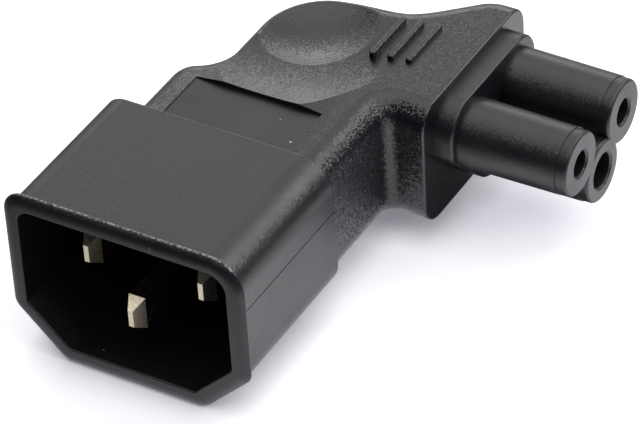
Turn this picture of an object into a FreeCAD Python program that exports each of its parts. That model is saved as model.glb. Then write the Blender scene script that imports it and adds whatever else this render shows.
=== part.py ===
import FreeCAD, Part
import Sketcher
import math
import os

# Right-angle power adapter: a keyed three-blade inlet, turned by a moulded elbow into a three-barrel outlet.
# While it is drawn, the inlet's axis is X = 0, its mouth is Y = 0 and the shroud's lower face is Z = 0.
# All sizes are in mm.
# The inlet opens towards -Y and the outlet points along +X.

doc = FreeCAD.newDocument("power_adapter")

# Driving dimensions
sheet = doc.addObject("Spreadsheet::Sheet", "dims")
driving_dimensions = [
    # Inlet shroud
    ("shroud_width", 28.0, "outside width"),
    ("shroud_height", 19.9, "outside height"),
    ("shroud_length", 20.0, "mouth to rear face"),
    ("shroud_left_corner", 2.6, "radius of the upper left long edge"),
    ("shroud_right_corner", 3.9, "radius of the upper right long edge"),
    ("shroud_key", 5.1, "leg of the two lower 45 degree corners"),
    ("shroud_key_corner", 3.0, "radius at both ends of those corners"),
    ("rim_depth", 0.9, "depth of the bead round the mouth"),
    ("rim_step", 0.55, "how far the bead stands out from the shroud"),
    ("rim_left_corner", 2.95, "radius of the bead's upper left corner"),
    ("rim_right_corner", 4.2, "radius of the bead's upper right corner"),
    ("rim_key", 5.82, "leg of the bead's lower 45 degree corners"),
    ("rim_key_corner", 2.15, "radius at both ends of those corners"),
    ("rim_round", 1.5, "radius of the bead's front, which leans back as far as its rear edge"),
    ("rim_back", 0.15, "radius of the bead's rear edge"),
    ("rear_round", 0.25, "radius of the shroud's rear edge"),
    ("parting_row", 13.7, "height of the parting line on the shroud's sides"),
    ("parting_width", 0.13, "across Z"),
    ("parting_depth", 0.08, "into the side"),
    ("mouth_round", 0.2, "radius of the mouth's inner edge"),
    ("cavity_width", 25.2, "inside width"),
    ("cavity_height", 17.1, "inside height"),
    ("cavity_base", 1.5, "thickness of the lower wall"),
    ("cavity_key", 4.8, "leg of the inner 45 degree corners"),
    ("cavity_left_corner", 1.7, "radius of the inner upper left corner"),
    ("cavity_right_corner", 2.2, "radius of the inner upper right corner"),
    ("cavity_key_corner", 0.6, "radius at both ends of the inner 45 degree corners"),
    ("cavity_depth", 17.0, "mouth to floor"),
    ("boss_width", 20.0, "locking boss behind the shroud"),
    ("boss_height", 11.0, "locking boss behind the shroud"),
    ("boss_length", 4.0, "locking boss behind the shroud"),
    ("boss_undercut", 1.5, "depth of the groove that the overmould locks into"),
    # Blades
    ("blade_thickness", 2.0, "across X"),
    ("blade_width", 4.0, "across Z"),
    ("blade_pitch", 14.0, "between the two power blades"),
    ("power_row", 11.95, "height of both power rows"),
    ("earth_blade_drop", 4.0, "earth blade below the power row"),
    ("power_recess", 3.9, "power tips behind the mouth"),
    ("earth_recess", 0.9, "earth tip behind the mouth"),
    ("tip_length", 1.5, "length of the pointed tip"),
    ("tip_thickness", 0.6, "front flat of the tip, across X"),
    ("tip_width", 2.15, "front flat of the tip, across Z"),
    ("tail_end", 25.0, "mouth to the blades' rear ends"),
    ("cup_depth", 2.0, "solder cups in the blades and the contacts"),
    # Overmould
    ("arm_width", 24.6, "inlet arm, across X"),
    ("body_height", 15.7, "at the flange, across Z"),
    ("body_axis", 9.95, "height of the middle plane"),
    ("edge_round", 2.9, "radius of the upper and lower edges"),
    ("shoulder_front", 32.1, "left shoulder, outer corner"),
    ("shoulder_rear", 33.6, "left shoulder, inner corner"),
    ("shoulder_round", 3.4, "left shoulder, outer radius"),
    ("shoulder_fillet", 2.85, "left shoulder, inner radius"),
    ("lobe_side", 7.75, "thumb lobe, left side from the inlet's axis"),
    ("lobe_back", 47.95, "thumb lobe, rear left corner"),
    ("lobe_round", 7.9, "thumb lobe, radius"),
    ("flare_start", 6.2, "flare's inner corner, X"),
    ("flare_back", 50.4, "flare's inner corner, Y"),
    ("flare_fillet", 11.0, "flare's inner radius"),
    ("flare_end", 13.4, "flare's outer corner, X"),
    ("flare_round", 5.0, "flare's outer radius"),
    ("flange_plane", 17.05, "inlet's axis to the flange face"),
    ("flange_width", 23.4, "flange, across Y"),
    ("flange_edge", 0.25, "radius of the flange's rim"),
    ("elbow_front", 34.1, "inner corner of the elbow"),
    ("elbow_fillet", 1.3, "radius of that corner"),
    ("crown_apex", 1.0, "where the two slopes of the crown would meet, above the flange"),
    ("crown_round", 45.0, "radius of the crown"),
    ("crown_foot", 7.4, "where the crown runs out, from the inlet's axis"),
    ("crown_blend", 15.0, "radius where it runs out"),
    ("scoop_x", -0.6, "slope behind the panel, middle"),
    ("scoop_y", 37.5, "slope behind the panel, its lowest point"),
    ("scoop_depth", 0.55, "its lowest point, below the flange's level"),
    ("scoop_round", 45.0, "radius of that slope along Y"),
    ("scoop_spread", 90.0, "radius of that slope along X"),
    ("scoop_height", 20.0, "half height of the egg-shaped form that hollows it"),
    ("dish_x", -1.0, "thumb dish, centre"),
    ("dish_y", 41.4, "thumb dish, centre"),
    ("dish_radius", 6.8, "thumb dish, rim"),
    ("dish_depth", 1.2, "thumb dish, below the flange's level"),
    ("dish_rim", 0.6, "radius of the dish's soft rim"),
    ("rib_first", 7.15, "first grip rib, from the inlet's axis"),
    ("rib_pitch", 2.0, "between grip ribs"),
    ("rib_middle", 43.95, "middle of the first rib, along Y"),
    ("rib_shift", 0.45, "each rib further along Y than the last"),
    ("rib_length", 7.4, "along Y"),
    ("rib_end", 0.35, "radius of the ribs' upright corners"),
    ("rib_width", 0.82, "across X"),
    ("rib_height", 0.75, "first rib, above the flange's level"),
    ("rib_fall", 0.12, "each rib lower than the last"),
    ("rib_round", 0.3, "radius of the ribs' upper edges"),
    ("panel_width", 15.7, "bare panel behind the shroud, across X"),
    ("panel_shift", -0.5, "its middle, from the inlet's axis"),
    ("panel_back", 29.2, "its rear edge"),
    ("panel_drop", 0.25, "its floor, below the flange's level"),
    # Outlet
    ("outlet_axis", 45.3, "mouth of the inlet to the outlet's axis"),
    ("outlet_pitch", 10.2, "between the two power barrels"),
    ("outlet_earth_drop", 4.5, "earth barrel below the power row"),
    ("nose_length", 15.5, "flange face to the barrels' ends"),
    ("plinth_depth", 2.4, "flange face to the plinth's face"),
    ("plinth_side", 9.7, "outlet's axis to the plinth's side"),
    ("plinth_top", 4.88, "power row to the plinth's top"),
    ("plinth_key", 1.15, "power row down to the start of its slopes"),
    ("plinth_corner", 3.8, "radius of its upper corners"),
    ("plinth_key_corner", 2.0, "radius of its side corners"),
    ("plinth_toe", 4.5, "radius round the earth barrel"),
    ("plinth_edge", 0.3, "radius of its front edge"),
    ("root_inset", 1.6, "nose root inside the plinth's outline"),
    ("root_depth", 3.0, "nose root behind the flange face"),
    ("barrel_base_radius", 3.92, "at the plinth"),
    ("barrel_ring_radius", 3.8, "at the ring near the end"),
    ("barrel_tip_radius", 3.7, "beyond the ring"),
    ("barrel_ring", 1.3, "ring to the end"),
    ("barrel_round", 0.35, "radius of the end's edge"),
    ("socket_depth", 3.0, "barrel's end to the contact"),
    ("socket_lead", 0.25, "lead-in at the socket's mouth"),
    ("power_socket_radius", 1.5, "hole in a power barrel"),
    ("earth_socket_radius", 2.05, "hole in the earth barrel"),
    ("sleeve_wall", 0.5, "contact sleeve's wall"),
    ("sleeve_inset", 0.2, "contact's bore inside the socket's wall"),
    ("sleeve_play", 0.05, "round the sleeve in its chamber"),
    ("sleeve_floor", 0.6, "flange face to the sleeve's floor"),
    ("slit_width", 0.4, "slit between the sleeve's two halves"),
    ("slit_length", 8.0, "slit, along the sleeve"),
    ("ferrule_radius", 1.3, "contact's tail"),
    ("ferrule_length", 2.6, "contact's tail behind the nose root"),
    # Wires
    ("core_radius", 0.6, "copper core"),
    ("insulation_radius", 1.2, "outside of the insulation"),
    ("bare_length", 1.0, "bare core at each end"),
    ("left_bend_start", 3.5, "left wire: straight run from its insulation's start"),
    ("left_bend_end", 8.5, "left wire: X of its second bend"),
    ("wire_bend", 3.0, "smallest bend radius"),
    ("earth_bend", 5.0, "earth wire's bend radius"),
]
for row, (alias, value, meaning) in enumerate(driving_dimensions, start=1):
    sheet.set("A%d" % row, alias)
    sheet.set("B%d" % row, str(value))
    sheet.set("C%d" % row, meaning)
    sheet.setAlias("B%d" % row, alias)
doc.recompute()

# Middle of the adapter's outline, above which the part's origin lies, level with the bead's lowest face
MIDDLE_X = "(dims.flange_plane + dims.nose_length - dims.shroud_width / 2 - dims.rim_step) / 2"
BODY_BACK = "(dims.outlet_axis + dims.flange_width / 2)"
MIDDLE_Y = BODY_BACK + " / 2"

AXES = {"XY_Plane": 1, "XZ_Plane": -1, "YZ_Plane": 1}


def number(expression):
    return float(sheet.evalExpression(expression.replace("dims.", "")))


def new_body(label, x="0", y="0", z="0"):
    body = doc.addObject("PartDesign::Body", label)
    body.Label = label
    body.setExpression("Placement.Base.x", "(%s) - %s" % (x, MIDDLE_X))
    body.setExpression("Placement.Base.y", "(%s) - %s" % (y, MIDDLE_Y))
    body.setExpression("Placement.Base.z", "(%s) + dims.rim_step" % z)
    return body


def origin_feature(body, role):
    return next(item for item in body.Origin.OriginFeatures if item.Role == role)


def new_sketch(body, name, role, at="0"):
    # at is the plane's distance from the body's own origin, along +Z, +Y or +X
    sketch = body.newObject("Sketcher::SketchObject", name)
    sketch.AttachmentSupport = [(origin_feature(body, role), "")]
    sketch.MapMode = "FlatFace"
    sketch.setExpression("AttachmentOffset.Base.z", "%d * (%s)" % (AXES[role], at))
    return sketch


def bind(sketch, constraint, name, expression):
    index = sketch.addConstraint(constraint)
    sketch.renameConstraint(index, name)
    sketch.setExpression("Constraints." + name, expression)


def place_point(sketch, geometry, position, name, x, y):
    bind(sketch, Sketcher.Constraint("DistanceX", -1, 1, geometry, position, number(x)), name + "_x", x)
    bind(sketch, Sketcher.Constraint("DistanceY", -1, 1, geometry, position, number(y)), name + "_y", y)


def rounding(before, corner, after, radius):
    # Tangent points and sketch arc of one rounded corner, and whether the outline turns left there
    towards_before = (before - corner).normalize()
    towards_after = (after - corner).normalize()
    half_angle = towards_before.getAngle(towards_after) / 2
    trim = radius / math.tan(half_angle)
    start = corner + towards_before * trim
    end = corner + towards_after * trim
    inward = (towards_before + towards_after).normalize()
    centre = corner + inward * (radius / math.sin(half_angle))
    turns_left = towards_before.cross(towards_after).z < 0
    first, last = (start, end) if turns_left else (end, start)
    first_angle = math.atan2(first.y - centre.y, first.x - centre.x)
    last_angle = math.atan2(last.y - centre.y, last.x - centre.x)
    if last_angle < first_angle:
        last_angle += 2 * math.pi
    circle = Part.Circle(centre, FreeCAD.Vector(0, 0, 1), radius)
    return start, end, Part.ArcOfCircle(circle, first_angle, last_angle), turns_left


def draw_outline(sketch, name, corners, closed=True):
    # Straight lines through the corners, each an (x, y, radius) of expressions, with tangent arcs where there
    # is a radius. Every corner's place and every radius is bound to the driving dimensions.
    count = len(corners)
    points = [FreeCAD.Vector(number(x), number(y), 0) for x, y, radius in corners]
    starts = list(points)
    ends = list(points)
    arcs = {}
    for index, (x, y, radius) in enumerate(corners):
        if radius:
            before = points[index - 1]
            after = points[(index + 1) % count]
            starts[index], ends[index], arc, left = rounding(before, points[index], after, number(radius))
            arcs[index] = (sketch.addGeometry(arc), left, sketch.addGeometry(Part.Point(points[index]), True))
    spans = range(count if closed else count - 1)
    lines = [sketch.addGeometry(Part.LineSegment(ends[i], starts[(i + 1) % count])) for i in spans]
    for index, (x, y, radius) in enumerate(corners):
        corner_name = "%s_%d" % (name, index)
        line_in = lines[index - 1] if closed or index > 0 else None
        line_out = lines[index] if index < len(lines) else None
        if radius:
            arc, left, point = arcs[index]
            entry, leave = (1, 2) if left else (2, 1)
            sketch.addConstraint([
                Sketcher.Constraint("PointOnObject", point, 1, line_in),
                Sketcher.Constraint("PointOnObject", point, 1, line_out),
                Sketcher.Constraint("Tangent", line_in, 2, arc, entry),
                Sketcher.Constraint("Tangent", line_out, 1, arc, leave),
            ])
            bind(sketch, Sketcher.Constraint("Radius", arc, number(radius)), corner_name + "_radius", radius)
            place_point(sketch, point, 1, corner_name, x, y)
        elif line_in is not None and line_out is not None:
            sketch.addConstraint(Sketcher.Constraint("Coincident", line_in, 2, line_out, 1))
            place_point(sketch, line_out, 1, corner_name, x, y)
        elif line_out is not None:
            place_point(sketch, line_out, 1, corner_name, x, y)
        else:
            place_point(sketch, line_in, 2, corner_name, x, y)
    return lines


def draw_rectangle(sketch, name, width, height, x="0", y="0", corner=""):
    left = "%s - (%s) / 2" % (x, width)
    right = "%s + (%s) / 2" % (x, width)
    low = "%s - (%s) / 2" % (y, height)
    high = "%s + (%s) / 2" % (y, height)
    draw_outline(sketch, name, [
        (left, low, corner),
        (right, low, corner),
        (right, high, corner),
        (left, high, corner),
    ])


def draw_circle(sketch, name, radius):
    circle = sketch.addGeometry(Part.Circle(FreeCAD.Vector(), FreeCAD.Vector(0, 0, 1), number(radius)))
    sketch.addConstraint(Sketcher.Constraint("Coincident", circle, 3, -1, 1))
    bind(sketch, Sketcher.Constraint("Radius", circle, number(radius)), name + "_radius", radius)


def add_feature(body, kind, name, profile, **settings):
    # A feature that has to change the body's volume: one that misses the solid is an error
    before = body.Shape.Volume if not body.Shape.isNull() else 0.0
    feature = body.newObject("PartDesign::" + kind, name)
    feature.Profile = profile
    for key, setting in settings.items():
        if isinstance(setting, str) and key in ("Length", "Angle"):
            feature.setExpression(key, setting)
        else:
            setattr(feature, key, setting)
    doc.recompute()
    if abs(body.Shape.Volume - before) < 1e-6:
        raise RuntimeError("%s changed nothing on %s" % (name, body.Label))
    return feature


def round_edges(body, name, radius, wanted):
    # wanted gets each edge with the faces that meet there
    base = body.Tip
    shape = base.Shape
    edges = []
    for index, edge in enumerate(shape.Edges, start=1):
        if wanted(edge, shape.ancestorsOfType(edge, Part.Face)):
            edges.append("Edge%d" % index)
    fillet = body.newObject("PartDesign::Fillet", name)
    fillet.Base = (base, edges)
    fillet.setExpression("Radius", radius)
    doc.recompute()
    return fillet


def lies_at(edge, axis, value):
    # Whether an edge lies in the plane where that axis has that value
    box = edge.optimalBoundingBox()
    near = 1e-4
    return abs(getattr(box, axis + "Min") - value) < near and abs(getattr(box, axis + "Max") - value) < near


def face_normal(face):
    low_u, high_u, low_v, high_v = face.ParameterRange
    return face.normalAt((low_u + high_u) / 2, (low_v + high_v) / 2)


def mirror_feature(body, name, originals):
    mirror = body.newObject("PartDesign::Mirrored", name)
    mirror.Originals = originals
    mirror.MirrorPlane = (origin_feature(body, "XY_Plane"), [""])
    body.Tip = mirror
    doc.recompute()
    return mirror


def keyed_outline(sketch, name, width, height, base, key, key_corner, left_corner, right_corner):
    # Rectangle with its two lower corners cut at 45 degrees, the inlet's keyed form
    side = "(%s) / 2" % width
    foot = "(%s - (%s))" % (side, key)
    shoulder = "(%s) + (%s)" % (base, key)
    top = "(%s) + (%s)" % (base, height)
    draw_outline(sketch, name, [
        ("-" + foot, base, key_corner),
        (foot, base, key_corner),
        (side, shoulder, key_corner),
        (side, top, right_corner),
        ("-" + side, top, left_corner),
        ("-" + side, shoulder, key_corner),
    ])


# Rows of the inlet: circuit, X, Z and how far the tip stands behind the mouth
circuits = {
    "left_power": ("-dims.blade_pitch / 2", "dims.power_row", "dims.power_recess"),
    "right_power": ("dims.blade_pitch / 2", "dims.power_row", "dims.power_recess"),
    "earth": ("0", "dims.power_row - dims.earth_blade_drop", "dims.earth_recess"),
}

# Rows of the outlet: Y from its axis, Z from the power row and the socket's radius
barrels = {
    "left_power": ("dims.outlet_pitch / 2", "0", "dims.power_socket_radius"),
    "right_power": ("-dims.outlet_pitch / 2", "0", "dims.power_socket_radius"),
    "earth": ("0", "-dims.outlet_earth_drop", "dims.earth_socket_radius"),
}


def make_shroud():
    body = new_body("inlet_shroud")
    # The bead's round front is cut off at its rear edge before it comes level, so it is drawn a little larger
    core = "(dims.rim_round - dims.rim_back)"
    lean = "(dims.rim_round - dims.rim_depth + dims.rim_back)"
    swell = "(%s - sqrt(%s ^ 2 - %s ^ 2))" % (core, core, lean)
    step = "(dims.rim_step + %s)" % swell
    bead = new_sketch(body, "bead_outline", "XZ_Plane")
    keyed_outline(
        bead, "bead", "dims.shroud_width + 2 * %s" % step, "dims.shroud_height + 2 * %s" % step,
        "-" + step, "dims.rim_key + (2 - sqrt(2)) * %s" % swell,
        "dims.rim_key_corner", "dims.rim_left_corner", "dims.rim_right_corner")
    add_feature(body, "Pad", "mouth_bead", bead, Length="2 * dims.rim_round", Reversed=True)
    round_edges(body, "bead_front", "dims.rim_round", lambda edge, faces: lies_at(edge, "Y", 0))
    behind = new_sketch(body, "behind_bead", "XZ_Plane", "dims.rim_depth")
    draw_rectangle(behind, "behind", "2 * dims.shroud_width", "2 * dims.shroud_height", "0", "dims.body_axis")
    add_feature(body, "Pocket", "bead_rear", behind, Type="ThroughAll")
    bead_rear = number("dims.rim_depth")
    round_edges(body, "bead_rear_edge", "dims.rim_back", lambda edge, faces: lies_at(edge, "Y", bead_rear))
    shell = new_sketch(body, "shroud_outline", "XZ_Plane", "dims.rim_depth")
    keyed_outline(
        shell, "shroud", "dims.shroud_width", "dims.shroud_height", "0",
        "dims.shroud_key", "dims.shroud_key_corner", "dims.shroud_left_corner", "dims.shroud_right_corner")
    wall_length = "dims.shroud_length - dims.rim_depth"
    add_feature(body, "Pad", "shroud_wall", shell, Length=wall_length, Reversed=True)
    rear = number("dims.shroud_length")
    round_edges(body, "rear_edge", "dims.rear_round", lambda edge, faces: lies_at(edge, "Y", rear))
    parting = new_sketch(body, "parting_line_section", "XZ_Plane", "dims.rim_depth")
    for side in ("-", ""):
        draw_rectangle(parting, "right" if side == "" else "left", "2 * dims.parting_depth",
                       "dims.parting_width", side + "dims.shroud_width / 2", "dims.parting_row")
    add_feature(body, "Pocket", "parting_line", parting, Length=wall_length)
    neck = new_sketch(body, "boss_neck_outline", "XZ_Plane", "dims.shroud_length")
    draw_rectangle(neck, "neck", "dims.boss_width - 2 * dims.boss_undercut",
                   "dims.boss_height - 2 * dims.boss_undercut", "0", "dims.body_axis")
    add_feature(body, "Pad", "boss_neck", neck, Length="dims.boss_length / 2", Reversed=True)
    head = new_sketch(body, "boss_head_outline", "XZ_Plane", "dims.shroud_length + dims.boss_length / 2")
    draw_rectangle(head, "head", "dims.boss_width", "dims.boss_height", "0", "dims.body_axis")
    add_feature(body, "Pad", "boss_head", head, Length="dims.boss_length / 2", Reversed=True)
    cavity = new_sketch(body, "cavity_outline", "XZ_Plane")
    keyed_outline(
        cavity, "cavity", "dims.cavity_width", "dims.cavity_height", "dims.cavity_base",
        "dims.cavity_key", "dims.cavity_key_corner", "dims.cavity_left_corner", "dims.cavity_right_corner")
    add_feature(body, "Pocket", "mouth_cavity", cavity, Length="dims.cavity_depth")
    inner = number("dims.cavity_width") / 2 + 0.01
    base = number("dims.cavity_base") - 0.01
    ceiling = number("dims.cavity_base + dims.cavity_height") + 0.01
    round_edges(body, "mouth_edge", "dims.mouth_round", lambda edge, faces: lies_at(edge, "Y", 0)
                and abs(edge.CenterOfMass.x) < inner and base < edge.CenterOfMass.z < ceiling)
    slots = new_sketch(body, "blade_slots", "XZ_Plane")
    for circuit, (x, z, recess) in circuits.items():
        draw_rectangle(slots, circuit, "dims.blade_thickness", "dims.blade_width", x, z)
    add_feature(body, "Pocket", "blade_seats", slots, Type="ThroughAll")
    return body


def wire_height(circuit):
    return "(dims.power_row + (%s))" % barrels[circuit][1]


def make_blade(circuit):
    x, z, recess = circuits[circuit]
    body = new_body(circuit + "_blade", x, recess, z)
    length = "dims.tail_end - (%s)" % recess
    bar = new_sketch(body, circuit + "_bar_section", "XZ_Plane", "dims.tip_length")
    draw_rectangle(bar, "bar", "dims.blade_thickness", "dims.blade_width")
    add_feature(body, "Pad", circuit + "_bar", bar, Length=length + " - dims.tip_length", Reversed=True)
    root = new_sketch(body, circuit + "_tip_root", "XZ_Plane", "dims.tip_length")
    draw_rectangle(root, "root", "dims.blade_thickness", "dims.blade_width")
    flat = new_sketch(body, circuit + "_tip_flat", "XZ_Plane")
    draw_rectangle(flat, "flat", "dims.tip_thickness", "dims.tip_width")
    add_feature(body, "AdditiveLoft", circuit + "_tip", root, Sections=[flat], Ruled=True)
    # The cup is level with its wire, which runs at the height of the outlet's row
    cup = new_sketch(body, circuit + "_cup_section", "XZ_Plane", length + " - dims.cup_depth")
    cup.setExpression("AttachmentOffset.Base.y", "%s - (%s)" % (wire_height(circuit), z))
    draw_circle(cup, "cup", "dims.core_radius")
    add_feature(body, "Pocket", circuit + "_cup", cup, Length="dims.cup_depth")
    return body


def plinth_corners(inset):
    side = "(dims.plinth_side - %s)" % inset
    # A 45 degree slope that moves in by the inset meets the side lower down by inset * (sqrt(2) - 1)
    key = "(-dims.plinth_key + %s * (sqrt(2) - 1))" % inset
    top = "dims.plinth_top - %s" % inset
    toe = "%s - %s" % (key, side)
    return [
        ("-" + side, top, "dims.plinth_corner - %s" % inset),
        ("-" + side, key, "dims.plinth_key_corner"),
        ("0", toe, "dims.plinth_toe - %s" % inset),
        (side, key, "dims.plinth_key_corner"),
        (side, top, "dims.plinth_corner - %s" % inset),
    ]


def revolve(body, kind, name, corners, y="0", z="0"):
    # Turns a half section of (x, radius) corners about an axis along X
    section = body.newObject("Sketcher::SketchObject", name + "_section")
    section.AttachmentSupport = [(origin_feature(body, "XY_Plane"), "")]
    section.MapMode = "FlatFace"
    section.setExpression("AttachmentOffset.Base.y", y)
    section.setExpression("AttachmentOffset.Base.z", z)
    draw_outline(section, "section", corners)
    add_feature(body, kind, name, section, ReferenceAxis=(section, ["H_Axis"]), Angle="360")


def make_nose():
    body = new_body("outlet_nose", "dims.flange_plane", "dims.outlet_axis", "dims.power_row")
    root = new_sketch(body, "root_outline", "YZ_Plane", "-dims.root_depth")
    draw_outline(root, "root", plinth_corners("dims.root_inset"))
    add_feature(body, "Pad", "nose_root", root, Length="dims.root_depth")
    plinth = new_sketch(body, "plinth_outline", "YZ_Plane")
    draw_outline(plinth, "plinth", plinth_corners("0"))
    add_feature(body, "Pad", "plinth", plinth, Length="dims.plinth_depth")
    front = number("dims.plinth_depth")
    round_edges(body, "plinth_front_edge", "dims.plinth_edge", lambda edge, faces: lies_at(edge, "X", front))
    ring = "dims.nose_length - dims.barrel_ring"
    for circuit, (y, z, socket) in barrels.items():
        revolve(body, "Revolution", circuit + "_barrel", [
            ("0", "0", ""),
            ("dims.nose_length", "0", ""),
            ("dims.nose_length", "dims.barrel_tip_radius", "dims.barrel_round"),
            (ring, "dims.barrel_tip_radius", ""),
            (ring, "dims.barrel_ring_radius", ""),
            ("dims.plinth_depth", "dims.barrel_base_radius", ""),
            ("0", "dims.barrel_base_radius", ""),
        ], y, z)
    for circuit, (y, z, socket) in barrels.items():
        sleeve = "%s - dims.sleeve_inset + dims.sleeve_wall" % socket
        chamber = sleeve + " + dims.sleeve_play"
        stop = "dims.nose_length - dims.socket_depth"
        lead = "dims.nose_length - dims.socket_lead"
        revolve(body, "Groove", circuit + "_socket", [
            ("-2 * dims.root_depth", "0", ""),
            ("dims.nose_length + dims.socket_lead", "0", ""),
            ("dims.nose_length + dims.socket_lead", "%s + 2 * dims.socket_lead" % socket, ""),
            (lead, socket, ""),
            (stop, socket, ""),
            (stop, chamber, ""),
            ("0", chamber, ""),
            ("0", sleeve, ""),
            ("-2 * dims.root_depth", sleeve, ""),
        ], y, z)
    return body


def make_contact(circuit):
    y, z, socket = barrels[circuit]
    body = new_body(circuit + "_contact", "dims.flange_plane", "dims.outlet_axis + (%s)" % y,
                    "dims.power_row + (%s)" % z)
    bore = "%s - dims.sleeve_inset" % socket
    sleeve = bore + " + dims.sleeve_wall"
    mouth = "dims.nose_length - dims.socket_depth"
    tail = "-dims.root_depth - dims.ferrule_length"
    revolve(body, "Revolution", circuit + "_sleeve", [
        (tail, "dims.core_radius", ""),
        (tail + " + dims.cup_depth", "dims.core_radius", ""),
        (tail + " + dims.cup_depth", "0", ""),
        ("dims.sleeve_floor", "0", ""),
        ("dims.sleeve_floor", bore, ""),
        (mouth, bore, ""),
        (mouth, sleeve, ""),
        ("-dims.root_depth", sleeve, ""),
        ("-dims.root_depth", "dims.ferrule_radius", ""),
        (tail, "dims.ferrule_radius", ""),
    ])
    slit = new_sketch(body, circuit + "_slit_outline", "XY_Plane")
    draw_rectangle(slit, "slit", "2 * dims.slit_length", "dims.slit_width", mouth)
    add_feature(body, "Pocket", circuit + "_slit", slit, Type="ThroughAll", Midplane=True)
    return body


def wire_corners(circuit, start):
    # Middle line of a wire, from behind its blade to before its contact, in the plane of both.
    # start is how far the piece begins beyond the blade's cup, and it ends as far before the contact's.
    x, z, recess = circuits[circuit]
    tail = "dims.flange_plane - dims.root_depth - dims.ferrule_length"
    end_x = "(%s + dims.cup_depth - %s - (%s))" % (tail, start, x)
    end_y = "(dims.outlet_axis + %s - dims.tail_end + dims.cup_depth)" % barrels[circuit][0]
    corners = [("0", start, "")]
    if circuit == "left_power":
        bend_x = "(dims.left_bend_end - (%s))" % x
        bend_y = "(dims.cup_depth + dims.bare_length + dims.left_bend_start)"
        corners.append(("0", bend_y, "dims.earth_bend"))
        corners.append((bend_x, end_y, "dims.wire_bend"))
    elif circuit == "right_power":
        corners.append(("0", end_y, "dims.wire_bend"))
    else:
        corners.append(("0", end_y, "dims.earth_bend"))
    corners.append((end_x, end_y, ""))
    return corners


def make_wire(label, circuit, start, radii):
    # A round wire or sleeve swept along its route of straight runs and tangent arcs
    x, z, recess = circuits[circuit]
    body = new_body(label, x, "dims.tail_end - dims.cup_depth", wire_height(circuit))
    route = new_sketch(body, label + "_route", "XY_Plane")
    draw_outline(route, "route", wire_corners(circuit, start), closed=False)
    section = new_sketch(body, label + "_section", "XZ_Plane", start)
    for name, radius in radii.items():
        draw_circle(section, name, radius)
    doc.recompute()
    runs = ["Edge%d" % (index + 1) for index in range(len(route.Shape.Edges))]
    add_feature(body, "AdditivePipe", label + "_pipe", section, Spine=(route, runs))
    return body


def hollow(body, name, kind, radii, level):
    # A ball or an egg-shaped form that dips below both broad faces, its first radius upright
    form = body.newObject("PartDesign::Subtractive" + kind, "thumb_" + name)
    form.AttachmentSupport = [(origin_feature(body, "XY_Plane"), "")]
    form.MapMode = "FlatFace"
    for key, radius in radii.items():
        form.setExpression(key, radius)
    upright = next(iter(radii.values()))
    form.setExpression("AttachmentOffset.Base.x", "dims.%s_x" % name)
    form.setExpression("AttachmentOffset.Base.y", "dims.%s_y" % name)
    form.setExpression("AttachmentOffset.Base.z", "%s - dims.%s_depth + %s" % (level, name, upright))
    doc.recompute()
    mirror_feature(body, "lower_" + name, [form])


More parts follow.
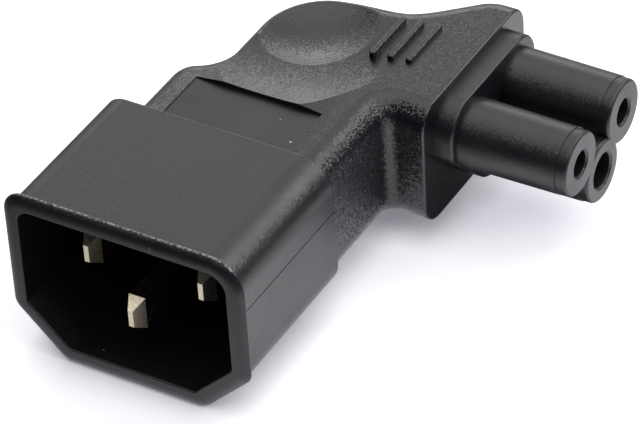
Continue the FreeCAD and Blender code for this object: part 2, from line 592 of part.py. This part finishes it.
def make_overmould_form():
    # Outside of the overmould, drawn about its own middle plane so that both broad faces are alike
    body = new_body("overmould_form", "0", "0", "dims.body_axis")
    level = "dims.body_height / 2"
    arm = "dims.arm_width / 2"
    flange_front = "dims.outlet_axis - dims.flange_width / 2"
    plan = new_sketch(body, "elbow_plan", "XY_Plane")
    draw_outline(plan, "plan", [
        ("-" + arm, "dims.shroud_length", ""),
        (arm, "dims.shroud_length", ""),
        (arm, "dims.elbow_front", "dims.elbow_fillet"),
        ("dims.flange_plane", flange_front, ""),
        ("dims.flange_plane", BODY_BACK, ""),
        ("dims.flare_end", BODY_BACK, "dims.flare_round"),
        ("dims.flare_start", "dims.flare_back", "dims.flare_fillet"),
        ("-dims.lobe_side", "dims.lobe_back", "dims.lobe_round"),
        ("-dims.lobe_side", "dims.shoulder_rear", "dims.shoulder_fillet"),
        ("-" + arm, "dims.shoulder_front", "dims.shoulder_round"),
    ])
    add_feature(body, "Pad", "elbow", plan, Length="dims.body_height + 2 * dims.crown_apex", Midplane=True)
    crown = new_sketch(body, "crown_section", "XZ_Plane", "dims.shroud_length")
    sky = level + " + 2 * dims.crown_apex"
    apex = level + " + dims.crown_apex"
    beyond = "2 * dims.flange_plane"
    valley = "%s + dims.crown_apex - %s * dims.crown_apex / dims.crown_foot" % (level, beyond)
    draw_outline(crown, "crown", [
        ("-" + beyond, valley, ""),
        ("0", apex, "dims.crown_round"),
        ("dims.crown_foot", level, "dims.crown_blend"),
        (beyond, level, ""),
        (beyond, sky, ""),
        ("-" + beyond, sky, ""),
    ])
    top_cut = add_feature(body, "Pocket", "crown", crown, Type="ThroughAll")
    mirror_feature(body, "lower_crown", [top_cut])
    mouth = number("dims.shroud_length")
    end = number("dims.flange_plane")

    def broad_edge(edge, faces):
        walls = [face for face in faces if abs(face_normal(face).z) < 0.01]
        return len(walls) == 1 and not lies_at(edge, "Y", mouth) and not lies_at(edge, "X", end)

    round_edges(body, "broad_edges", "dims.edge_round", broad_edge)
    round_edges(body, "flange_rim", "dims.flange_edge", lambda edge, faces: lies_at(edge, "X", end))

    # A slope behind the panel leads down to the thumb dish
    hollow(body, "scoop", "Ellipsoid", {
        "Radius1": "dims.scoop_height",
        "Radius2": "sqrt(dims.scoop_spread * dims.scoop_height)",
        "Radius3": "sqrt(dims.scoop_round * dims.scoop_height)",
    }, level)
    ball = "((dims.dish_radius ^ 2 + dims.dish_depth ^ 2) / (2 * dims.dish_depth))"
    hollow(body, "dish", "Sphere", {"Radius": ball}, level)
    dish_ball = number(ball)

    def dish_rim(edge, faces):
        balls = [face for face in faces if isinstance(face.Surface, Part.Sphere)]
        return len(faces) == 2 and sum(abs(face.Surface.Radius - dish_ball) < 1e-6 for face in balls) == 1

    round_edges(body, "dish_rims", "dims.dish_rim", dish_rim)

    # Three grip ribs, each a little lower than the one before it
    ribs = []
    tops = []
    for index in range(3):
        name = "rib_%d" % (index + 1)
        top = "%s + dims.rib_height - %d * dims.rib_fall" % (level, index)
        ridge = new_sketch(body, name + "_outline", "XY_Plane", level + " - dims.rib_width")
        middle_x = "dims.rib_first + %d * dims.rib_pitch" % index
        middle_y = "dims.rib_middle + %d * dims.rib_shift" % index
        draw_rectangle(ridge, name, "dims.rib_width", "dims.rib_length", middle_x, middle_y, "dims.rib_end")
        ribs.append(add_feature(body, "Pad", name, ridge, Length="%s - (%s) + dims.rib_width" % (top, level)))
        tops.append(number(top))
    mirror_feature(body, "lower_ribs", ribs)
    round_edges(body, "rib_edges", "dims.rib_round", lambda edge, faces: any(
        lies_at(edge, "Z", top) or lies_at(edge, "Z", -top) for top in tops))

    # Bare panel with a flat floor, let into the upper face behind the shroud
    panel = new_sketch(body, "panel_outline", "XY_Plane", level + " - dims.panel_drop")
    draw_rectangle(panel, "panel", "dims.panel_width", "2 * (dims.panel_back - dims.shroud_length)",
                   "dims.panel_shift", "dims.shroud_length")
    add_feature(body, "Pocket", "panel", panel, Type="ThroughAll", Reversed=True)
    return body


def make_overmould(form, enclosed):
    # The overmould is cast round everything that it holds
    core = doc.addObject("Part::MultiFuse", "enclosed_pieces")
    core.Shapes = enclosed
    body = doc.addObject("Part::Cut", "overmould_body")
    body.Label = "overmould_body"
    body.Base = form
    body.Tool = core
    return body


shroud = make_shroud()
nose = make_nose()
pieces = [shroud, nose]
strip = "(dims.cup_depth + dims.bare_length)"
core_section = {"core": "dims.core_radius"}
sleeve_section = {"outside": "dims.insulation_radius", "inside": "dims.core_radius"}
for circuit in circuits:
    pieces.append(make_blade(circuit))
    pieces.append(make_contact(circuit))
    pieces.append(make_wire(circuit + "_wire", circuit, "0", core_section))
    pieces.append(make_wire(circuit + "_insulation", circuit, strip, sleeve_section))
pieces.append(make_overmould(make_overmould_form(), list(pieces)))
doc.recompute()

for item in doc.Objects:
    if "Invalid" in item.State or "Error" in item.State:
        raise RuntimeError("%s did not build: %s" % (item.Label, item.State))
for piece in pieces:
    if piece.Shape.isNull() or not piece.Shape.isValid() or len(piece.Shape.Solids) != 1:
        raise RuntimeError("%s is not one valid solid" % piece.Label)

os.makedirs("parts", exist_ok=True)
for piece in pieces:
    piece.Shape.exportStep("parts/%s.step" % piece.Label)
    print("%s: %.1f cubic mm" % (piece.Label, piece.Shape.Volume))
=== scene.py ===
import bpy
import math
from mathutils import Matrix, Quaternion, Vector

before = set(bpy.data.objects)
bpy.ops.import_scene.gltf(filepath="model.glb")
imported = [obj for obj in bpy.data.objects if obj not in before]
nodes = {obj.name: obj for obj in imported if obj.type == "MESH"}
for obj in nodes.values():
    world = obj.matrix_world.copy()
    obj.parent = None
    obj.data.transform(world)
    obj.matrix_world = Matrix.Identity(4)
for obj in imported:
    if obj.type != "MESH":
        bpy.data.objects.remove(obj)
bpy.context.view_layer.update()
scene = bpy.context.scene
mm = 0.001
print("frame loaded:", len(nodes), "CAD nodes")


def linear(hexColour):
    channels = [int(hexColour[i:i + 2], 16) / 255 for i in (1, 3, 5)]
    return [c / 12.92 if c <= 0.04045 else ((c + 0.055) / 1.055) ** 2.4 for c in channels] + [1.0]


def perMetre(sizeInMm):
    return 1 / (sizeInMm * mm)  # texture scale for a feature of that size


def setInputs(tree, node, inputs):
    # each input is given a plain value or the output of another node
    for name, value in inputs.items():
        if isinstance(value, bpy.types.NodeSocket):
            tree.links.new(value, node.inputs[name])
        else:
            node.inputs[name].default_value = value


def addNode(tree, kind, inputs=None, **settings):
    node = tree.nodes.new(kind)
    for name, value in settings.items():
        setattr(node, name, value)
    setInputs(tree, node, inputs or {})
    return node


def calculate(tree, operation, *values):
    return addNode(tree, "ShaderNodeMath", dict(enumerate(values)), operation=operation).outputs[0]


def calculateVector(tree, operation, *vectors):
    return addNode(tree, "ShaderNodeVectorMath", dict(enumerate(vectors)), operation=operation).outputs[0]


unitRange = (0.0, 1.0)
middleGrey = (0.5, 0.5, 0.5)
black = (0.0, 0.0, 0.0, 1.0)
fineDetail = 3.0  # octaves of the noise in clouds of gloss and in drawing lines
coarseDetail = 2.0  # and on rubbed edges


def remap(tree, value, before, after):
    # from one range to another, held at its ends
    ends = {"From Min": before[0], "From Max": before[1], "To Min": after[0], "To Max": after[1]}
    return addNode(tree, "ShaderNodeMapRange", dict(ends, Value=value)).outputs["Result"]


def blendColours(tree, amount, first, second):
    # a mix node takes colours at its sockets 6 and 7, and gives one at 2
    return addNode(tree, "ShaderNodeMix", {0: amount, 6: first, 7: second}, data_type="RGBA").outputs[2]


def blendValues(tree, amount, first, second):
    # and plain values at 2 and 3, with the result at 0
    return addNode(tree, "ShaderNodeMix", {0: amount, 2: first, 3: second}, data_type="FLOAT").outputs[0]


def cloudyNoise(tree, place, sizeInMm, detail):
    # values from 0 to 1, most of them near the middle
    inputs = {"Vector": place, "Scale": perMetre(sizeInMm), "Detail": detail}
    return addNode(tree, "ShaderNodeTexNoise", inputs).outputs["Fac"]


def newMaterial(name):
    material = bpy.data.materials.new(name)
    material.use_nodes = True
    tree = material.node_tree
    tree.nodes.clear()
    shader = addNode(tree, "ShaderNodeBsdfPrincipled")
    addNode(tree, "ShaderNodeOutputMaterial", {"Surface": shader.outputs["BSDF"]})
    coordinates = addNode(tree, "ShaderNodeTexCoord").outputs
    return material, tree, shader, coordinates


def dress(material, *names):
    for name in names:
        nodes[name].material_slots[0].material = material


def insideBox(tree, place, low, high):
    # 1 between two corners given in mm, else 0
    middle = [(a + b) / 2 * mm for a, b in zip(low, high)]
    half = [(b - a) / 2 * mm for a, b in zip(low, high)]
    away = calculateVector(tree, "ABSOLUTE", calculateVector(tree, "SUBTRACT", place, middle))
    beyond = calculateVector(tree, "SUBTRACT", away, half)
    axes = addNode(tree, "ShaderNodeSeparateXYZ", {0: beyond}).outputs
    furthest = calculate(tree, "MAXIMUM", calculate(tree, "MAXIMUM", axes["X"], axes["Y"]), axes["Z"])
    return calculate(tree, "LESS_THAN", furthest, 0.0)


def scatteredMarks(tree, place, marks):
    # 1 on small marks strewn at random, each at most reach times its spacing, else 0
    spread = addNode(tree, "ShaderNodeMapping", {
        "Vector": place,
        "Rotation": (0.0, 0.0, math.radians(marks["turn"])),
        "Scale": [perMetre(step) for step in marks["spacing"]],
    })
    strewn = {"Vector": spread.outputs["Vector"], "Scale": 1.0}
    cells = addNode(tree, "ShaderNodeTexVoronoi", strewn).outputs
    draw = addNode(tree, "ShaderNodeSeparateColor", {"Color": cells["Color"]}).outputs["Red"]
    size = remap(tree, draw, (1.0 - marks["share"], 1.0), (0.0, marks["reach"]))
    return calculate(tree, "LESS_THAN", cells["Distance"], size)


def grainedNormal(tree, coordinates, look):
    # each cell of the grain leans its own way, but none where the mould is polished
    place = coordinates["Object"]
    cells = addNode(tree, "ShaderNodeTexVoronoi", {"Vector": place, "Scale": perMetre(look["grainSize"])})
    lean = calculateVector(tree, "SUBTRACT", cells.outputs["Color"], middleGrey)
    upright = addNode(tree, "ShaderNodeSeparateXYZ", {0: coordinates["Normal"]}).outputs["Z"]
    level = calculate(tree, "MULTIPLY", upright, upright)  # 1 on level faces, 0 on walls
    balance = calculate(tree, "MULTIPLY_ADD", level, 2.0, -1.0)
    square = calculate(tree, "ABSOLUTE", balance)  # 1 on level faces and on walls, 0 at 45 degrees
    levelLean, edgeLean, wallLean = look["grainLean"]
    depth = calculate(tree, "MAXIMUM", remap(tree, square, unitRange, (edgeLean, levelLean)),
                      remap(tree, level, unitRange, (wallLean, 0.0)))
    for low, high in look["polished"]:
        grained = calculate(tree, "SUBTRACT", 1.0, insideBox(tree, place, low, high))
        depth = calculate(tree, "MULTIPLY", depth, grained)
    slope = addNode(tree, "ShaderNodeVectorMath", {0: lean, "Scale": depth}, operation="SCALE").outputs[0]
    smooth = addNode(tree, "ShaderNodeNewGeometry").outputs["Normal"]
    return calculateVector(tree, "NORMALIZE", calculateVector(tree, "ADD", smooth, slope))


# Moulded black plastic: carbon black swallows the light that enters it, so what the eye sees is the
# reflection on its skin, soft on the satin inlet and broken into points by the grain of the body
def mouldedPlastic(look):
    material, tree, shader, coordinates = newMaterial(look["name"])
    place = coordinates["Object"]
    cloud = cloudyNoise(tree, place, look["cloudSize"], fineDetail)  # slow change of gloss over the skin
    skin = blendColours(tree, scatteredMarks(tree, place, look["dust"]),
                        linear(look["colour"]), linear(look["dustColour"]))
    if "scratches" in look:
        scratched = scatteredMarks(tree, place, look["scratches"])
        skin = blendColours(tree, scratched, skin, linear(look["scratchColour"]))
    # a painted highlight along an edge, broken up ragged by noise
    if "highlightBand" in look:
        patches = cloudyNoise(tree, place, look["highlightSize"], coarseDetail)
        ragged = remap(tree, patches, look["highlightRange"], unitRange)
        paintedHighlight = calculate(tree, "MULTIPLY", insideBox(tree, place, *look["highlightBand"]), ragged)
        skin = blendColours(tree, paintedHighlight, skin, linear(look["highlightColour"]))
    setInputs(tree, shader, {
        "Base Color": skin,
        "Roughness": remap(tree, cloud, look["cloudRange"], look["roughness"]),
        "Normal": grainedNormal(tree, coordinates, look),
        "IOR": look["ior"],
    })
    return material


# Glass-filled nylon from a fine-textured mould: an even satin with a few scuffs and specks of dust
shroudLook = {
    "name": "satin_black_nylon",
    "colour": "#0f0f16",
    "roughness": (0.34, 0.42),
    "ior": 1.64,
    "cloudSize": 7.0,  # mm
    "cloudRange": (0.3, 0.7),  # of the noise, from the glossiest to the dullest patches
    "grainSize": 0.16,  # mm, drawn a little coarser than the real skin so that it shows
    "grainLean": (0.05, 0.2, 0.05),  # on level faces, on rounded edges, on walls
    "polished": [],
    "dust": {"spacing": (3.2, 3.2, 3.2), "turn": 0.0, "share": 0.5, "reach": 0.045},  # mm, degrees
    "dustColour": "#8f8f8c",
    "scratches": {"spacing": (0.7, 16.0, 3.0), "turn": 24.0, "share": 0.25, "reach": 0.1},
    "scratchColour": "#4c4c4b",
    "highlightBand": ((-24.0, -27.92, 19.9), (6.0, -27.42, 22.0)),  # mm, rear edge of the bead, painted pale as a highlight along the edge
    "highlightSize": 0.3,  # mm
    "highlightRange": (0.38, 0.62),  # of the noise, from black to pale
    "highlightColour": "#8f8d89",
}
# Soft vinyl cast over the joint in a spark-eroded mould: the grain glitters on every rounded edge
overmouldLook = {
    "name": "spark_grained_black_vinyl",
    "colour": "#0e0e15",
    "roughness": (0.26, 0.34),
    "ior": 1.64,
    "cloudSize": 5.0,
    "cloudRange": (0.3, 0.7),
    "grainSize": 0.14,
    "grainLean": (0.14, 0.65, 0.42),
    "polished": [
        ((-17.35, -8.5, 17.9), (-1.65, 0.7, 18.2)),  # mm, floor of the panel
        ((7.9, 0.0, 0.0), (8.2, 30.0, 20.0)),  # face of the flange
    ],
    "dust": {"spacing": (2.4, 2.4, 2.4), "turn": 0.0, "share": 0.5, "reach": 0.065},
    "dustColour": "#a2a29e",
}
# The same nylon from a polished mould: smooth barrels that carry a soft streak of light
noseLook = {
    "name": "smooth_black_nylon",
    "colour": "#0f0f16",
    "roughness": (0.36, 0.44),
    "ior": 1.64,
    "cloudSize": 4.0,
    "cloudRange": (0.3, 0.7),
    "grainSize": 0.13,
    "grainLean": (0.06, 0.18, 0.06),
    "polished": [],
    "dust": {"spacing": (2.0, 2.0, 2.0), "turn": 0.0, "share": 0.4, "reach": 0.04},
    "dustColour": "#a8a8a4",
}
dress(mouldedPlastic(shroudLook), "inlet_shroud")
dress(mouldedPlastic(overmouldLook), "overmould_body")
dress(mouldedPlastic(noseLook), "outlet_nose")
print("mouldings dressed")


# Drawn or stamped metal: fine lines along the way it was drawn, and a slight change of tone
def workedMetal(look):
    material, tree, shader, coordinates = newMaterial(look["name"])
    place = coordinates["Object"]
    stretched = addNode(tree, "ShaderNodeMapping", {"Vector": place, "Scale": look["lineStretch"]})
    lines = cloudyNoise(tree, stretched.outputs["Vector"], look["lineSize"], fineDetail)
    streak = remap(tree, lines, look["lineRange"], unitRange)
    gloss = remap(tree, streak, unitRange, look["roughness"])
    for low, high in look["pressed"]:
        gloss = blendValues(tree, insideBox(tree, place, low, high), gloss, look["pressedRoughness"])
    relief = addNode(tree, "ShaderNodeBump",
                     {"Height": lines, "Strength": 1.0, "Distance": look["lineHeight"] * mm})
    setInputs(tree, shader, {
        "Base Color": blendColours(tree, streak, linear(look["colour"]), linear(look["streakColour"])),
        "Roughness": gloss,
        "Normal": relief.outputs["Normal"],
        "Metallic": 1.0,
    })
    return material


# Brass bar with a thin bright plating, its tip pressed to a point: pale, a little warm, finely lined
bladeLook = {
    "name": "plated_brass",
    "colour": "#fff7e6",
    "streakColour": "#d9c8a2",
    "roughness": (0.2, 0.28),
    "lineStretch": (1.0, 0.08, 1.0),  # drawn along the blade
    "lineSize": 0.18,  # mm
    "lineRange": (0.32, 0.68),  # of the noise, from one colour to the other
    "lineHeight": 0.0006,  # mm
    "pressed": [
        ((-17.2, -25.0, 10.5), (-0.8, -23.1, 15.0)),  # mm, points of both power blades
        ((-10.2, -28.0, 6.0), (-7.8, -26.1, 11.0)),  # point of the earth blade
    ],
    "pressedRoughness": 0.31,  # matt from the press
}
# Bronze strip rolled into a sleeve and tinned: duller and greyer than the blades
contactLook = {
    "name": "tinned_bronze",
    "colour": "#cfc8b8",
    "streakColour": "#a89c84",
    "roughness": (0.25, 0.4),
    "lineStretch": (0.06, 1.0, 1.0),
    "lineSize": 0.15,
    "lineRange": (0.32, 0.68),
    "lineHeight": 0.002,
    "pressed": [],
}
# Bare copper as it leaves the drawing die, bright orange with fine lines
copperLook = {
    "name": "drawn_copper",
    "colour": "#c9825e",
    "streakColour": "#a8603f",
    "roughness": (0.25, 0.4),
    "lineStretch": (0.2, 0.2, 1.0),
    "lineSize": 0.12,
    "lineRange": (0.32, 0.68),
    "lineHeight": 0.002,
    "pressed": [],
}
circuits = ("left_power", "right_power", "earth")
dress(workedMetal(bladeLook), *[circuit + "_blade" for circuit in circuits])
dress(workedMetal(contactLook), *[circuit + "_contact" for circuit in circuits])
dress(workedMetal(copperLook), *[circuit + "_wire" for circuit in circuits])
print("metal dressed")

# Vinyl extruded round the wires: smooth and even, dyed through
sleeveLook = dict(noseLook, name="grey_vinyl_sleeve", colour="#8a8a8c")
earthSleeveLook = dict(noseLook, name="green_vinyl_sleeve", colour="#3f8f4a")
dress(mouldedPlastic(sleeveLook), "left_power_insulation", "right_power_insulation")
dress(mouldedPlastic(earthSleeveLook), "earth_insulation")
print("insulation dressed")

# White paper sweep under the adapter
stageSettings = {
    "halfWidth": 4.0,  # m
    "colour": "#f4f4f6",
    "roughness": 0.9,
    "specular": 0.1,
    "lift": 0.48,  # how much of its white it keeps in shadow
    "liftColour": "#f4f2ff",
    "paintedContactShadowReach": 0.004,  # m, how near the adapter that white fades into a painted contact shadow
    "mirroredLift": 0.56,  # the same white where it is mirrored in the plastic and the metal
    "paintedShadeMiddle": (0.015, 0.0135, 0.0),  # m, the middle of the painted shade below the outlet, seen only in reflections
    "paintedShadeEdge": (0.007, 0.0125),  # m from there, where the painted shade fades
    "paintedDimmingEdge": (0.03, 0.095),  # m from there, where the paper seen in reflections fades to a painted dimness
    "mirroredLeast": 0.1,  # what is mirrored of the paper in the painted shade and beyond the painted dimming
}
bpy.ops.object.select_all(action="DESELECT")
bpy.ops.mesh.primitive_plane_add(size=2 * stageSettings["halfWidth"], location=(0, 0, 0))
floor = bpy.context.active_object
floor.name = "paper_floor"
paper, paperTree, paperShader, paperCoordinates = newMaterial("white_paper")
path = addNode(paperTree, "ShaderNodeLightPath").outputs
mirrored = calculate(paperTree, "MAXIMUM", path["Is Glossy Ray"], path["Is Transmission Ray"])
# In reflections only, the paper is painted dark below the outlet and painted dimmer further out
places = {0: paperCoordinates["Object"], 1: stageSettings["paintedShadeMiddle"]}
away = addNode(paperTree, "ShaderNodeVectorMath", places, operation="DISTANCE").outputs["Value"]
least = stageSettings["mirroredLeast"]
outOfPaintedShade = remap(paperTree, away, stageSettings["paintedShadeEdge"], (least, 1.0))
beforePaintedDimming = remap(paperTree, away, stageSettings["paintedDimmingEdge"], (1.0, least))
paintedReflectionShade = calculate(paperTree, "MULTIPLY", outOfPaintedShade, beforePaintedDimming)
shown = blendValues(paperTree, mirrored, 1.0, paintedReflectionShade)
mirroredGlow = calculate(paperTree, "MULTIPLY", mirrored,
                         calculate(paperTree, "MULTIPLY", paintedReflectionShade, stageSettings["mirroredLift"]))
# Painted contact shadow: the white seen by the camera fades where the adapter stands close
paintedContactShadow = addNode(paperTree, "ShaderNodeAmbientOcclusion", {"Distance": stageSettings["paintedContactShadowReach"]})
inView = calculate(paperTree, "MULTIPLY", path["Is Camera Ray"], paintedContactShadow.outputs["AO"])
setInputs(paperTree, paperShader, {
    "Base Color": blendColours(paperTree, shown, black, linear(stageSettings["colour"])),
    "Roughness": stageSettings["roughness"],
    "Specular IOR Level": stageSettings["specular"],
    "Emission Color": linear(stageSettings["liftColour"]),
    "Emission Strength": calculate(paperTree, "MULTIPLY_ADD", inView, stageSettings["lift"], mirroredGlow),
})
floor.data.materials.append(paper)
print("floor laid")

# Soft studio light: a broad panel overhead, a white wall with a window at the back, two lamps on the
# right and a dim room all round
roomSettings = {"colour": "#e8ebff", "strength": 0.05}
warm = "#fffffa"
white = "#ffffff"
panels = {  # places and sizes in m
    "overhead_panel": {"place": (-0.08, -0.04, 1.1), "size": (1.75, 1.26), "radiance": 1.52, "colour": warm},
    "back_wall": {"place": (-0.55, 1.25, 0.63), "size": (2.6, 1.4), "radiance": 0.73, "colour": warm},
    "window": {"place": (-0.68, 1.25, 0.52), "size": (0.8, 0.34), "radiance": 2.4, "colour": white},
    "right_lamp": {"place": (0.47, 0.67, 0.64), "size": (0.5, 0.8), "radiance": 3.4, "colour": white},
    "side_lamp": {"place": (0.85, 0.0, 0.68), "size": (0.5, 0.45), "radiance": 4.9, "colour": white},
}
world = bpy.data.worlds.new("dim_room")
scene.world = world
world.use_nodes = True
setInputs(world.node_tree, world.node_tree.nodes["Background"],
          {"Color": linear(roomSettings["colour"]), "Strength": roomSettings["strength"]})
for name, panel in panels.items():
    lamp = bpy.data.lights.new(name, "AREA")
    lamp.shape = "RECTANGLE"
    lamp.size, lamp.size_y = panel["size"]
    lamp.energy = panel["radiance"] * math.pi * lamp.size * lamp.size_y
    lamp.color = linear(panel["colour"])[:3]
    holder = bpy.data.objects.new(name, lamp)
    holder.location = panel["place"]
    holder.rotation_euler = (-Vector(panel["place"])).to_track_quat("-Z", "Y").to_euler()
    scene.collection.objects.link(holder)
print("light set")

# Camera where the photograph was taken from
cameraSettings = {
    "place": (0.17794, -0.28683, 0.27651),  # m
    "looksAt": (0.00087, -0.00503, 0.01),
    "roll": -3.715,  # degrees
    "lens": 225.0,  # mm
    "sensor": 36.0,  # mm
    "nearest": 0.01,  # m
}
cameraData = bpy.data.cameras.new("camera")
cameraData.sensor_width = cameraSettings["sensor"]
cameraData.lens = cameraSettings["lens"]
cameraData.clip_start = cameraSettings["nearest"]
camera = bpy.data.objects.new("camera", cameraData)
aim = Vector(cameraSettings["looksAt"]) - Vector(cameraSettings["place"])
tilt = Quaternion((0, 0, 1), math.radians(cameraSettings["roll"]))
camera.location = cameraSettings["place"]
camera.rotation_euler = (aim.to_track_quat("-Z", "Y") @ tilt).to_euler()
scene.collection.objects.link(camera)
scene.camera = camera
scene.view_settings.view_transform = "Standard"
print("camera set")
